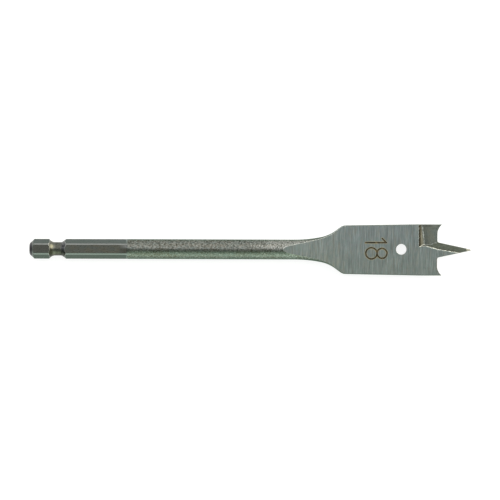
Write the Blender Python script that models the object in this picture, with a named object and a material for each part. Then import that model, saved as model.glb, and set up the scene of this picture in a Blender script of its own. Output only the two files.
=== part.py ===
"""Spade drill bit, 18 mm wide, on a quarter inch hexagon shank.

One piece of steel: a round bar with a milled hexagon at one end and a forged, ground blade at the
other. It is modelled along +X about its own axis, with the end of the shank at zero, and then laid
on its round bar with the blade level. Each cut that the blade has on one face is repeated on the
other face, half a turn about the axis away.
"""

import math

import bmesh
import bpy
from mathutils import Matrix, Vector

# Bar and overall length
BIT_LENGTH = 0.155
BAR_DIAMETER = 0.007

# Hexagon shank
HEX_SIDES = 6
HEX_ACROSS_FLATS = 0.00635
HEX_ACROSS_CORNERS = 0.0069
HEX_LENGTH = 0.0344
HEX_RUNOUT_ANGLE = math.radians(25)
HEX_SHOULDER_LENGTH = 0.0002
END_CHAMFER_LENGTH = 0.00175
END_CHAMFER_ANGLE = math.radians(41)
END_ROUNDING = 0.001

# Groove round the hexagon, where a quick-change chuck's balls lock
GROOVE_START = 0.00715
GROOVE_LENGTH = 0.00585
GROOVE_DIAMETER = 0.00475
GROOVE_REAR_ANGLE = math.radians(50)
GROOVE_REAR_ROUNDING = 0.0026
GROOVE_FRONT_ANGLE = math.radians(35)
GROOVE_FRONT_ROUNDING = 0.001

# Blade seen from its face, with lengths measured back from the point
BLADE_WIDTH = 0.018
SHOULDER_WIDTH = 0.01709
KNEE_WIDTH = 0.00994
POINT_LENGTH = 0.0117
LAND_LENGTH = 0.0066
BLADE_LENGTH = 0.0334
SHOULDER_LENGTH = 0.0048
NECK_LENGTH = 0.00745
SHOULDER_ROUNDING = 0.007
KNEE_ROUNDING = 0.0126
NECK_ROUNDING = 0.047

# Ground faces of the blade
BLADE_SIDES = 2
BLADE_THICKNESS = 0.0024
FACE_RAMP_ANGLE = math.radians(6.6)
FACE_RAMP_SETBACK = 0.0011
FACE_RAMP_ROUNDING = 0.04

# Hole through the blade
HOLE_DIAMETER = 0.0037
HOLE_FROM_LIPS = 0.0128

# Lips, spurs and point
SPUR_LENGTH = 0.0015
SPUR_HOLLOW_RADIUS = 0.0051
POINT_ANGLE = math.radians(27)
POINT_ROOT_ROUNDING = 0.0005
LIP_RELIEF_ANGLE = math.radians(10)
EDGE_DROP = 0.00015
TIP_EDGE_HEIGHT = 0.0003
TIP_BEVEL_ANGLE = math.radians(39)

# Rake pocket behind each lip
POCKET_WALL_ANGLE = math.radians(42)
POCKET_INNER_DEPTH = 0.00075
POCKET_OUTER_DEPTH = 0.0005
POCKET_END_FROM_AXIS = 0.001
POCKET_END_SKEW = math.radians(7)
POCKET_END_ANGLE = math.radians(50)

# Rake groove along each side of the point
POINT_RAKE_WIDTH = 0.00217
POINT_RAKE_DEPTH = 0.0006
POINT_RAKE_WALL_ANGLE = math.radians(60)
POINT_RAKE_OVERLAP = 0.0044

# Fineness of the round shapes
BAR_SIDES_PER_HALF = 12
ARC_STEP = math.radians(5)
LEAST_ARC_STEPS = 3
LEAST_TURN = math.radians(0.5)
ROUNDING_SHARE = 0.98
POCKET_STATIONS = 8
HOLE_SIDES = 48

# How far a cutter reaches past what it cuts
CUTTER_REACH = 0.003

# Heights and stations that follow from the sizes above
BAR_RADIUS = BAR_DIAMETER / 2
FACE_HEIGHT = BLADE_THICKNESS / 2
EDGE_HEIGHT = FACE_HEIGHT - EDGE_DROP
LIP_X = BIT_LENGTH - POINT_LENGTH
LAND_X = LIP_X - LAND_LENGTH
SHOULDER_X = LIP_X - BLADE_LENGTH
KNEE_X = SHOULDER_X - SHOULDER_LENGTH
NECK_X = KNEE_X - NECK_LENGTH
SPUR_X = LIP_X + SPUR_LENGTH
POINT_X = BIT_LENGTH + EDGE_HEIGHT * math.tan(LIP_RELIEF_ANGLE)
POINT_SLOPE = math.tan(POINT_ANGLE / 2)
HALF_FACET = math.pi / BAR_SIDES_PER_HALF / 2

STEEL_COLOUR = (0.195, 0.223, 0.205, 1.0)
STEEL_ROUGHNESS = 0.42


def clear_scene():
    """Removes every object that the opened file holds."""
    for item in list(bpy.data.objects):
        bpy.data.objects.remove(item, do_unlink=True)


def turn_at(before, here, after):
    """The angle by which a path changes direction at a corner."""
    return (here - before).angle(after - here)


def arc_in_corner(before, here, after, reach):
    """The points of a round that starts and ends this far from the corner."""
    turn = turn_at(before, here, after)
    if reach == 0 or turn < LEAST_TURN:
        return [here]
    back = (before - here).normalized()
    ahead = (after - here).normalized()
    first = here + back * reach
    centre = here + (back + ahead).normalized() * reach / math.sin(turn / 2)
    side = math.copysign(1, ahead.cross(back))
    count = max(LEAST_ARC_STEPS, math.ceil(turn / ARC_STEP))
    points = []
    for step in range(count + 1):
        spoke = (first - centre).copy()
        spoke.rotate(Matrix.Rotation(side * turn * step / count, 2))
        points.append(centre + spoke)
    return points


def rounded_path(corners):
    """A path through corners given as (x, y, rounding radius), with its first and last left sharp.

    Two roundings that would meet on a short straight share it in proportion.
    """
    places = [Vector(corner[:2]) for corner in corners]
    wanted = [0.0] * len(corners)
    for index in range(1, len(corners) - 1):
        turn = turn_at(*places[index - 1 : index + 2])
        wanted[index] = corners[index][2] * math.tan(turn / 2)
    reaches = list(wanted)
    for index in range(len(corners) - 1):
        room = ROUNDING_SHARE * (places[index + 1] - places[index]).length
        both = wanted[index] + wanted[index + 1]
        for end in (index, index + 1):
            reaches[end] = min(reaches[end], wanted[end] * room / max(both, room))
    points = [places[0]]
    for index in range(1, len(corners) - 1):
        points += arc_in_corner(*places[index - 1 : index + 2], reaches[index])
    points.append(places[-1])
    return points


def bridge_rings(bm, rings):
    """Skins one ring of points to the next and closes both ends."""
    loops = [[bm.verts.new(point) for point in ring] for ring in rings]
    for lower, upper in zip(loops, loops[1:]):
        for index in range(len(lower)):
            following = (index + 1) % len(lower)
            bm.faces.new((lower[index], lower[following], upper[following], upper[index]))
    bm.faces.new(list(reversed(loops[0])))
    bm.faces.new(loops[-1])
    bmesh.ops.recalc_face_normals(bm, faces=bm.faces[:])


def cut_by_plane(bm, point, outward):
    """Removes what lies on the outward side of a plane and closes the cut with a flat face."""
    geometry = bm.verts[:] + bm.edges[:] + bm.faces[:]
    cut = bmesh.ops.bisect_plane(
        bm, geom=geometry, plane_co=point, plane_no=outward, clear_outer=True
    )
    rim = [item for item in cut["geom_cut"] if isinstance(item, bmesh.types.BMEdge)]
    bmesh.ops.edgeloop_fill(bm, edges=rim)
    bmesh.ops.recalc_face_normals(bm, faces=bm.faces[:])


def mesh_from(bm, name):
    """Turns the working mesh into a named mesh."""
    mesh = bpy.data.meshes.new(name)
    bm.to_mesh(mesh)
    bm.free()
    return mesh


def shank_profile():
    """Corners of the hexagon's turned profile, as (x, radius, rounding), from the axis to the bar."""
    radius = HEX_ACROSS_CORNERS / 2
    chamfer_foot = radius - END_CHAMFER_LENGTH * math.tan(END_CHAMFER_ANGLE)
    depth = radius - GROOVE_DIAMETER / 2
    groove_end = GROOVE_START + GROOVE_LENGTH
    rear_floor = GROOVE_START + depth / math.tan(GROOVE_REAR_ANGLE)
    front_floor = groove_end - depth / math.tan(GROOVE_FRONT_ANGLE)
    return [
        (0, 0, 0),
        (0, chamfer_foot, END_ROUNDING),
        (END_CHAMFER_LENGTH, radius, 0),
        (GROOVE_START, radius, 0),
        (rear_floor, GROOVE_DIAMETER / 2, GROOVE_REAR_ROUNDING),
        (front_floor, GROOVE_DIAMETER / 2, GROOVE_FRONT_ROUNDING),
        (groove_end, radius, 0),
        (HEX_LENGTH, radius, 0),
        (HEX_LENGTH + HEX_SHOULDER_LENGTH, BAR_RADIUS, 0),
    ]


def blade_outline():
    """Corners of the forged blade's edge, as (x, half width, rounding), from the bar to its front."""
    return [
        (HEX_LENGTH + HEX_SHOULDER_LENGTH, BAR_RADIUS, 0),
        (NECK_X, BAR_RADIUS, NECK_ROUNDING),
        (KNEE_X, KNEE_WIDTH / 2, KNEE_ROUNDING),
        (SHOULDER_X, SHOULDER_WIDTH / 2, SHOULDER_ROUNDING),
        (LAND_X, BLADE_WIDTH / 2, 0),
        (BIT_LENGTH + TIP_EDGE_HEIGHT, BLADE_WIDTH / 2, 0),
    ]


def bar_ring(x, half_width, radius):
    """A round section whose two halves stand apart where the blade is wider than the bar.

    Its facets touch the true circle, so its width and height are those of the round bar.
    """
    corner = radius / math.cos(HALF_FACET)
    ring = []
    for side in (1, -1):
        for index in range(BAR_SIDES_PER_HALF):
            angle = side * (math.pi / 2 - HALF_FACET * (2 * index + 1))
            across = side * (half_width - radius + corner * math.cos(angle))
            ring.append((x, across, corner * math.sin(angle)))
    return ring


def make_blank():
    """The turned shank, the bar and the forged blade before its faces are ground."""
    bm = bmesh.new()
    shank = rounded_path(shank_profile())[1:]
    blade = rounded_path(blade_outline())[1:]
    rings = [bar_ring(x, radius, radius) for x, radius in shank]
    rings += [bar_ring(x, half_width, BAR_RADIUS) for x, half_width in blade]
    bridge_rings(bm, rings)
    for side in (1, -1):
        slope = Vector((math.sin(TIP_BEVEL_ANGLE), 0, side * math.cos(TIP_BEVEL_ANGLE)))
        cut_by_plane(bm, Vector((BIT_LENGTH, 0, side * TIP_EDGE_HEIGHT / 2)), slope)
    return mesh_from(bm, "spade_bit")


def side_cutter(profile, half_width, name):
    """A cutter with this outline in X and Z, extruded sideways."""
    bm = bmesh.new()
    rings = [[(x, across, z) for x, z in profile] for across in (-half_width, half_width)]
    bridge_rings(bm, rings)
    return mesh_from(bm, name)


def make_flat_cutter():
    """Cuts one flat of the hexagon, with the ramp where it runs out into the bar."""
    flat = HEX_ACROSS_FLATS / 2
    top = BAR_RADIUS + CUTTER_REACH
    ramp = (top - flat) / math.tan(HEX_RUNOUT_ANGLE)
    ramp_foot = HEX_LENGTH - (BAR_RADIUS - flat) / math.tan(HEX_RUNOUT_ANGLE)
    profile = [
        (-CUTTER_REACH, flat),
        (ramp_foot, flat),
        (ramp_foot + ramp, top),
        (-CUTTER_REACH, top),
    ]
    return side_cutter(profile, BAR_DIAMETER, "flat_cutter")


def make_face_cutter():
    """Grinds one face of the blade, from its shallow start in the bar to past the point."""
    ramp_end = SHOULDER_X - FACE_RAMP_SETBACK
    top = BAR_RADIUS + CUTTER_REACH
    ramp_start = ramp_end - (top - FACE_HEIGHT) / math.tan(FACE_RAMP_ANGLE)
    front = BIT_LENGTH + CUTTER_REACH
    path = rounded_path(
        [
            (ramp_start, top, 0),
            (ramp_end, FACE_HEIGHT, FACE_RAMP_ROUNDING),
            (front, FACE_HEIGHT, 0),
        ]
    )
    path.append(Vector((front, top)))
    return side_cutter(path, BLADE_WIDTH, "face_cutter")


def front_outline():
    """Corners of one half of the front, as (x, y): spur, hollow, lip, root and side of the point."""
    centre = Vector((LIP_X + SPUR_HOLLOW_RADIUS, 0))
    spur_angle = math.acos(1 - SPUR_LENGTH / SPUR_HOLLOW_RADIUS)
    centre.y = BLADE_WIDTH / 2 - SPUR_HOLLOW_RADIUS * math.sin(spur_angle)
    along_spur = Vector((math.sin(spur_angle), math.cos(spur_angle)))
    spur_tip = Vector((SPUR_X, BLADE_WIDTH / 2))
    points = [spur_tip + along_spur * CUTTER_REACH]
    count = math.ceil(spur_angle / ARC_STEP)
    for step in range(count + 1):
        angle = spur_angle * (1 - step / count)
        spoke = Vector((-math.cos(angle), math.sin(angle)))
        points.append(centre + spoke * SPUR_HOLLOW_RADIUS)
    lip_end = points.pop()
    root = (LIP_X, (POINT_X - LIP_X) * POINT_SLOPE, POINT_ROOT_ROUNDING)
    past_point = (POINT_X + CUTTER_REACH, -CUTTER_REACH * POINT_SLOPE)
    points += rounded_path([lip_end, root, past_point])
    points.append(Vector((past_point[0], points[0].y)))
    return points


def make_front_cutter():
    """Cuts one half of the front, leaning back from its cutting edge by the relief angle."""
    bm = bmesh.new()
    lean = math.tan(LIP_RELIEF_ANGLE)
    outline = front_outline()
    rings = []
    for height in (-BAR_DIAMETER, BAR_DIAMETER):
        shift = (height - EDGE_HEIGHT) * lean
        rings.append([(point.x + shift, point.y, height) for point in outline])
    bridge_rings(bm, rings)
    return mesh_from(bm, "front_cutter")


def pocket_profile(depth):
    """Corners of the rake pocket's section, as (x, z), where its floor lies this deep."""
    floor = FACE_HEIGHT - depth
    radius = depth / (1 - math.cos(POCKET_WALL_ANGLE))
    foot = LAND_X + radius * math.sin(POCKET_WALL_ANGLE)
    rise = (EDGE_HEIGHT - floor) / (LIP_X - foot)
    front = BIT_LENGTH + CUTTER_REACH
    top = FACE_HEIGHT + CUTTER_REACH
    wall_top = LAND_X - CUTTER_REACH / math.tan(POCKET_WALL_ANGLE)
    points = [(wall_top, top)]
    count = math.ceil(POCKET_WALL_ANGLE / ARC_STEP)
    for step in range(count + 1):
        angle = POCKET_WALL_ANGLE * (1 - step / count)
        drop = radius * (math.cos(angle) - math.cos(POCKET_WALL_ANGLE))
        points.append((foot - radius * math.sin(angle), FACE_HEIGHT - drop))
    points.append((front, EDGE_HEIGHT + rise * (front - LIP_X)))
    points.append((front, top + rise * (front - LIP_X)))
    return points


def make_pocket_cutter():
    """Cuts one rake pocket: a hollow wall, a floor that rises to the lip and a slanted inner end."""
    bm = bmesh.new()
    outside = BLADE_WIDTH / 2 + CUTTER_REACH
    deepening = (POCKET_INNER_DEPTH - POCKET_OUTER_DEPTH) / (BLADE_WIDTH / 2)
    rings = []
    for station in range(POCKET_STATIONS + 1):
        across = outside * station / POCKET_STATIONS
        depth = POCKET_INNER_DEPTH - deepening * across
        rings.append([(x, across, z) for x, z in pocket_profile(depth)])
    bridge_rings(bm, rings)
    inward = Vector((0, -math.sin(POCKET_END_ANGLE), -math.cos(POCKET_END_ANGLE)))
    inward.rotate(Matrix.Rotation(POCKET_END_SKEW, 3, "Z"))
    cut_by_plane(bm, Vector((LAND_X, POCKET_END_FROM_AXIS, FACE_HEIGHT)), inward)
    return mesh_from(bm, "pocket_cutter")


def make_point_cutter():
    """Cuts the rake groove along one side of the point: a slanted wall and a floor rising outwards."""
    bm = bmesh.new()
    back = LIP_X - POINT_RAKE_OVERLAP
    front = BIT_LENGTH + CUTTER_REACH
    outside = BLADE_WIDTH / 2 + CUTTER_REACH
    corners = [(back, -outside), (front, -outside), (front, outside), (back, outside)]
    heights = (-BAR_DIAMETER, BAR_DIAMETER)
    bridge_rings(bm, [[(x, y, height) for x, y in corners] for height in heights])
    edge_outward = Vector((math.sin(POINT_ANGLE / 2), math.cos(POINT_ANGLE / 2), 0))
    edge_end = Vector((POINT_X, 0, EDGE_HEIGHT))
    wall_top = edge_end - edge_outward * POINT_RAKE_WIDTH
    wall_top.z = FACE_HEIGHT
    wall_normal = -edge_outward * math.sin(POINT_RAKE_WALL_ANGLE)
    wall_normal.z = -math.cos(POINT_RAKE_WALL_ANGLE)
    cut_by_plane(bm, wall_top, wall_normal)
    fall = math.atan2(POINT_RAKE_DEPTH - EDGE_DROP, POINT_RAKE_WIDTH)
    floor_normal = edge_outward * math.sin(fall)
    floor_normal.z = -math.cos(fall)
    cut_by_plane(bm, edge_end, floor_normal)
    return mesh_from(bm, "point_cutter")


def make_hole_cutter():
    """Drills the hole through the blade."""
    bm = bmesh.new()
    middle = Vector((LIP_X - HOLE_FROM_LIPS, 0))
    circle = []
    for index in range(HOLE_SIDES):
        angle = 2 * math.pi * index / HOLE_SIDES
        circle.append(middle + Vector((math.cos(angle), math.sin(angle))) * HOLE_DIAMETER / 2)
    heights = (-BAR_DIAMETER, BAR_DIAMETER)
    bridge_rings(bm, [[(x, y, height) for x, y in circle] for height in heights])
    return mesh_from(bm, "hole_cutter")


def make_steel():
    """Bare steel, ground and blasted to a soft grey."""
    steel = bpy.data.materials.new("steel")
    steel.use_nodes = True
    shader = steel.node_tree.nodes["Principled BSDF"]
    shader.inputs["Base Color"].default_value = STEEL_COLOUR
    shader.inputs["Metallic"].default_value = 1.0
    shader.inputs["Roughness"].default_value = STEEL_ROUGHNESS
    return steel


def add_object(name, mesh, parent):
    """Places a mesh in the scene, carried by its parent."""
    item = bpy.data.objects.new(name, mesh)
    bpy.context.scene.collection.objects.link(item)
    item.parent = parent
    return item


def cut_with(bit, mesh, count, parent):
    """Cuts the bit with copies of one cutter, evenly spaced round its axis."""
    for index in range(count):
        cutter = add_object(f"{mesh.name}_{index + 1}", mesh, parent)
        cutter.rotation_euler.x = 2 * math.pi * index / count
        cutter.display_type = "WIRE"
        cutter.hide_render = True
        boolean = bit.modifiers.new(cutter.name, "BOOLEAN")
        boolean.operation = "DIFFERENCE"
        boolean.solver = "EXACT"
        boolean.object = cutter


def make_bit():
    """The whole bit, lying on the lowest facet of its bar with the middle of its length at zero."""
    rest = bpy.data.objects.new("rest", None)
    bpy.context.scene.collection.objects.link(rest)
    rest.location = (-BIT_LENGTH / 2, 0, BAR_RADIUS)
    blank = make_blank()
    blank.materials.append(make_steel())
    bit = add_object("spade_bit", blank, rest)
    cut_with(bit, make_flat_cutter(), HEX_SIDES, rest)
    cut_with(bit, make_face_cutter(), BLADE_SIDES, rest)
    cut_with(bit, make_pocket_cutter(), BLADE_SIDES, rest)
    cut_with(bit, make_point_cutter(), BLADE_SIDES, rest)
    cut_with(bit, make_hole_cutter(), 1, rest)
    cut_with(bit, make_front_cutter(), BLADE_SIDES, rest)
    return bit


clear_scene()
make_bit()
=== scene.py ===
import math

import bmesh
import bpy
from mathutils import Matrix, Vector, noise


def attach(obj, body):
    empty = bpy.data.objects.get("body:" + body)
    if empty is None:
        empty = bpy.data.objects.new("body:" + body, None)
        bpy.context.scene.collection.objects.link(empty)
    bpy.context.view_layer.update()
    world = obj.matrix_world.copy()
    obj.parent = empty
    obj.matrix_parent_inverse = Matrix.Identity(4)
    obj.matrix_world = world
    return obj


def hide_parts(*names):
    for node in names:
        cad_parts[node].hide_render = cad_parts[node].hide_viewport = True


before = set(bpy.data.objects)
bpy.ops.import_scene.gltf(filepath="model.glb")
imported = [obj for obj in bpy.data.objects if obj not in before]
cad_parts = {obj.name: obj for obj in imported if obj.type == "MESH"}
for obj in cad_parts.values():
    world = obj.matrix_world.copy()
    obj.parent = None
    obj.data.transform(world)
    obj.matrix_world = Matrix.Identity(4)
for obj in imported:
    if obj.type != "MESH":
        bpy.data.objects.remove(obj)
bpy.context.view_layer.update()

MM = 0.001

# The bit's sizes in millimetres, along +X from the end of the shank, with its own axis at zero
BIT_LENGTH = 155.0
BAR_RADIUS = 3.5
HEX_SIDES = 6
HEX_APOTHEM = 3.16
HEX_RADIUS = 3.47
HEX_LENGTH = 34.4
HEX_RUNOUT_ANGLE = math.radians(50)
HEX_RUNOUT_ROUNDING = 0.5
HEX_SHOULDER_LENGTH = 0.2
END_CHAMFER_LENGTH = 1.75
END_CHAMFER_ANGLE = math.radians(41)
END_ROUNDING = 1.0
GROOVE_START = 6.92
GROOVE_END = 12.86
GROOVE_RADIUS = 2.375
GROOVE_REAR_ANGLE = math.radians(50)
GROOVE_REAR_ROUNDING = 2.6
GROOVE_FRONT_ANGLE = math.radians(35)
GROOVE_FRONT_ROUNDING = 1.0
HALF_WIDTH = 9.0
SHOULDER_HALF_WIDTH = 8.545
KNEE_HALF_WIDTH = 4.97
LIP_X = 143.15
LAND_X = 136.57
SHOULDER_X = 109.9
KNEE_X = 105.1
NECK_X = 97.65
SHOULDER_ROUNDING = 3.4
KNEE_ROUNDING = 12.6
NECK_ROUNDING = 47.0
FACE_HEIGHT = 1.2
FACE_RAMP_ANGLE = math.radians(6.6)
FACE_RAMP_END = 108.8
FACE_RAMP_ROUNDING = 40.0
HOLE_X = 130.5
HOLE_Y = 0.2
HOLE_RADIUS = 1.85
SPUR_LENGTH = 1.7
SPUR_HOLLOW_RADIUS = 4.2
POINT_ANGLE = math.radians(24)
POINT_ROOT_ROUNDING = 0.8
LIP_RELIEF_ANGLE = math.radians(10)
EDGE_HEIGHT = 1.05
TIP_X = 154.9
TIP_BEVEL_ANGLE = math.radians(31)
POCKET_INNER_DEPTH = 0.75
POCKET_OUTER_DEPTH = 0.5
POCKET_INNER_RUN = 2.1
POCKET_OUTER_RUN = 1.0
POCKET_BOW = 2.0
POCKET_END_FROM_AXIS = 1.0
POCKET_END_SKEW = math.radians(7)
POCKET_END_ANGLE = math.radians(50)
POINT_RAKE_WIDTH = 2.17
POINT_RAKE_DEPTH = 0.6
POINT_RAKE_WALL_ANGLE = math.radians(60)
POINT_RAKE_OVERLAP = 4.4
POINT_RAKE_WALLS = ((146.75, -0.43, math.radians(9.5)), (142.9, 0.215, math.radians(16.1)))
POINT_X = 156.0
POINT_SLOPE = math.tan(POINT_ANGLE / 2)
REACH = 3.0
# The heights between which a cutter goes through the whole bit
THROUGH = (-2 * BAR_RADIUS, 2 * BAR_RADIUS)

# Fineness of the round shapes
SIDES_PER_HALF = 48
HALF_FACET = math.pi / SIDES_PER_HALF / 2
ARC_STEP = math.radians(2)
LEAST_ARC_STEPS = 4
LEAST_TURN = math.radians(0.3)
ROUNDING_SHARE = 0.98
POCKET_STATIONS = 24
POCKET_WALL_STEPS = 22
HOLE_SIDES = 96

# The number on the blade: straight strokes as pairs of points, round strokes as centre and radius
STRAIGHT_STROKES = (((117.9, 2.5), (125.2, 2.5)), ((125.12, 2.57), (123.78, 3.95)))
ROUND_STROKES = (((119.97, -1.25), 1.97), ((123.7, -1.25), 1.74))
STROKE_HALF_WIDTH = 0.26
# The two strokes of a pair overlap, so they differ in depth
STROKE_DEPTHS = (0.07, 0.062)
# How far a stroke's sides stand, in half widths, at its depth above the face and below it
STROKE_SLOPE = (1.5, 0.5)
STROKE_END_STEPS = 12
STROKE_RING_STEPS = 72

# Kinds of surface, in the order of the material slots
TURNED, GROOVE, BAR, FLAT, GROUND, POCKET, POINT, RELIEF, HOLE, MARK, EDGE, BURR = range(12)

FLAT_SHADED = (FLAT, GROUND, POCKET, POINT, MARK)

# Small rounding of the sharp edges
KEPT_SHARP = ({FLAT, TURNED}, {TURNED}, {TURNED, BAR}, {BAR})
HOLLOW = ({POINT}, {POCKET})
EDGE_BREAK = 0.05
EDGE_SEGMENTS = 2
EDGE_ANGLE = math.radians(12)
SHARP_ANGLE = math.radians(38)
MERGE_DISTANCE = 0.004
FLAT_ANGLE = math.radians(0.02)
NORMAL_WEIGHT = 80

# Burrs: the two kinds of surface that meet, the burr's own kind, half its width, its height, what
# is left of it on the bit's -Y side, and its end along X
BURRS = (
    (BAR, GROUND, BURR, 0.085, 0.045, 0.6, 111.0),
    (GROUND, POINT, BURR, 0.19, 0.11, 1.0, 153.0),
    (GROUND, POCKET, EDGE, 0.08, 0.04, 1.0, BIT_LENGTH),
    (POCKET, POINT, EDGE, 0.1, 0.06, 1.0, BIT_LENGTH),
)
# Nicks and raised scratches on the upper face: start, end, half the width and the height
NICKS = (
    ((138.75, -5.8), (138.95, -8.6), 0.06, 0.02),
    ((139.85, -0.35), (140.0, -0.95), 0.09, 0.03),
    ((123.2, 5.1), (123.35, 6.0), 0.05, 0.015),
)
# The torn edge at the foot of each pocket's wall
CREASE_HALF_WIDTH = 0.25
CREASE_HEIGHT = 0.045
CREASE_ENDS = (1.9, 8.7)
CREASE_STEPS = 12
CREASE_LEAST_SWELL = 0.6
# The brighter one where the wall meets the pocket's inner end
CORNER_HALF_WIDTH = 0.17
CORNER_HEIGHT = 0.06
CORNER_SHIFT = 0.3
CORNER_STEPS = 8
CORNER_ROUNDS = 3
# How a burr's size swells and sways along its length
MEAN_SWELL = 0.55
SWELL_RANGE = 1.5
LEAST_SWELL = 0.15
LEAST_WIDTH = 0.25
SWAY_RATE = 1.7
BURR_RATE = 1.9
BURR_STEP = 0.12
BURR_CORNERS = 8
BURR_SINK = 0.01
BURR_SEED_STEP = 7.3
LEAST_BURR_PLACES = 3

# Noise: detail and roughness of its layers, and the span of its values that a pattern uses
SOFT = (2.0, 0.5)
STREAKY = (3.0, 0.6)
FINE = (4.0, 0.6)
COARSE = (4.0, 0.7)
MOST = (0.3, 0.7)
MIDDLE = (0.35, 0.65)

# Steels: the grain in features per millimetre along each axis, its layers, the roughness where it
# is low and high or everywhere, and the depth of its relief in millimetres
STEELS = {
    "turned_steel": ((0.5, 3.0, 3.0), FINE, (0.25, 0.36), 0.003),
    "groove_steel": ((2.0, 1.5, 1.5), FINE, (0.23, 0.34), 0.003),
    "bar_steel": ((1.5, 2.2, 2.2), COARSE, (0.2, 0.34), 0.03),
    "milled_steel": ((1.2, 2.5, 2.5), FINE, (0.26, 0.36), 0.004),
    "ground_steel": ((1.3, 0.9, 0.9), STREAKY, (0.33, 0.43), 0.004),
    "pocket_steel": ((2.5, 1.0, 1.0), FINE, (0.27, 0.38), 0.006),
    "point_steel": ((1.2, 2.5, 2.5), FINE, (0.29, 0.4), 0.003),
    "relief_steel": ((1.0, 1.0, 5.0), FINE, (0.3, 0.4), 0.004),
    "hole_steel": ((1.0, 1.0, 4.0), FINE, (0.31, 0.42), 0.003),
    "mark_steel": ((1.1, 1.1, 1.1), STREAKY, 0.5, 0.0),
    "edge_steel": ((1.5, 1.5, 1.5), FINE, (0.23, 0.34), 0.003),
    "burr_steel": ((2.0, 2.0, 2.0), FINE, (0.28, 0.39), 0.003),
}
WHITE = (1.0, 1.0, 1.0)
# The painted greener light on the -Y side: where it starts and over how much it fades
GREEN_SIDE_START = -0.2
FLAT_GREEN_SIDE_START = -1.1
GREEN_SIDE_FADE = 1.0
# Layers of grinding lines: their slant in degrees, grain and contrast
GRINDING = (
    (1, (2.0, 0.06, 0.06), 0.06),
    (3, (4.5, 0.16, 0.16), 0.13),
    (-2, (3.6, 0.1, 0.1), 0.09),
    (1, (8.0, 0.2, 0.2), 0.24),
)

# How bright the studio is round the bit, by the angle from straight up, in degrees towards +Y
STUDIO_ACROSS = (
    (-180, (1.0, 1.1, 1.0)),
    (-130, (1.0, 1.2, 1.05)),
    (-100, (1.6, 1.78, 1.63)),
    (-84, (1.94, 2.1, 1.93)),
    (-66, (1.65, 1.79, 1.63)),
    (-46, (1.15, 1.27, 1.15)),
    (-36, (0.62, 0.76, 0.6)),
    (-28, (0.4, 0.46, 0.4)),
    (-1, (0.38, 0.42, 0.4)),
    (7, (1.5, 1.52, 1.54)),
    (24, (1.66, 1.68, 1.7)),
    (50, (1.55, 1.52, 1.46)),
    (80, (1.3, 1.34, 1.34)),
    (110, (1.05, 1.2, 1.25)),
    (180, (1.0, 1.1, 1.05)),
)
# The same by how far a direction leans towards +X, from -1 to 1
STUDIO_ALONG = (
    (-1.0, (0.1, 0.1, 0.11)),
    (-0.82, (0.34, 0.34, 0.36)),
    (-0.5, (0.82, 0.81, 0.86)),
    (-0.15, (1.0, 1.0, 1.0)),
    (0.05, (1.0, 1.0, 1.0)),
    (0.24, (0.86, 0.88, 0.9)),
    (0.42, (1.0, 1.0, 0.96)),
    (0.6, (1.3, 1.26, 1.14)),
    (0.85, (1.3, 1.25, 1.1)),
    (1.0, (0.7, 0.67, 0.6)),
)
STUDIO_LEVEL = 2.5
# A warm lamp low on the side of the point: where its light comes from, its colour and its width
LAMP_FROM = (0.72, 0.52, 0.46)
LAMP_COLOUR = (3.2, 3.0, 2.3)
LAMP_GLOW = (0.82, 0.97)
# What is left of the light low in the direction the bit points
LOW_FRONT = 0.22
LOW_FRONT_ALONG = (0.7, 0.93)
LOW_FRONT_ACROSS = (0.12, 0.38)
# What is left of it beyond both ends of the bit on the -Y side
DARK_CORNERS = 0.4
DARK_CORNERS_ALONG = (0.25, 0.6)
DARK_CORNERS_ACROSS = (-0.3, -0.05)

FLOOR_SIZE = 60.0
FLOOR_COLOUR = (0.3, 0.3, 0.3, 1.0)
FLOOR_ROUGHNESS = 0.9
FLOOR_GLOW = 0.84

# The camera looks straight down through a long lens
CAMERA_LENS = 200.0
CAMERA_SENSOR = 36.0
VIEW_WIDTH = 175.6 * MM
VIEW_MIDDLE = (-0.114 * MM, -0.21 * MM)
VIEW_TURN = math.radians(0.178)


def arc_in_corner(before, here, after, reach):
    """The points of a round that starts and ends this far from the corner."""
    turn = (here - before).angle(after - here)
    if reach == 0 or turn < LEAST_TURN:
        return [here]
    back = (before - here).normalized()
    ahead = (after - here).normalized()
    first = here + back * reach
    centre = here + (back + ahead).normalized() * reach / math.sin(turn / 2)
    side = math.copysign(1, ahead.cross(back))
    count = max(LEAST_ARC_STEPS, math.ceil(turn / ARC_STEP))
    points = []
    for step in range(count + 1):
        spoke = (first - centre).copy()
        spoke.rotate(Matrix.Rotation(side * turn * step / count, 2))
        points.append(centre + spoke)
    return points


def rounded_path(corners):
    """A path through corners given as (x, y, rounding radius), with both ends left sharp."""
    places = [Vector(corner[:2]) for corner in corners]
    wanted = [0.0] * len(corners)
    for index in range(1, len(corners) - 1):
        before, here, after = places[index - 1 : index + 2]
        wanted[index] = corners[index][2] * math.tan((here - before).angle(after - here) / 2)
    reaches = list(wanted)
    for index in range(len(corners) - 1):
        room = ROUNDING_SHARE * (places[index + 1] - places[index]).length
        both = wanted[index] + wanted[index + 1]
        for end in (index, index + 1):
            reaches[end] = min(reaches[end], wanted[end] * room / max(both, room))
    points = [places[0]]
    for index in range(1, len(corners) - 1):
        points += arc_in_corner(*places[index - 1 : index + 2], reaches[index])
    points.append(places[-1])
    return points


def skin(bm, here, ahead):
    """Faces from one ring of vertices to the next."""
    faces = []
    for index in range(len(here)):
        following = (index + 1) % len(here)
        corners = (here[index], here[following], ahead[following], ahead[index])
        faces.append(bm.faces.new(corners))
    return faces


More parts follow.
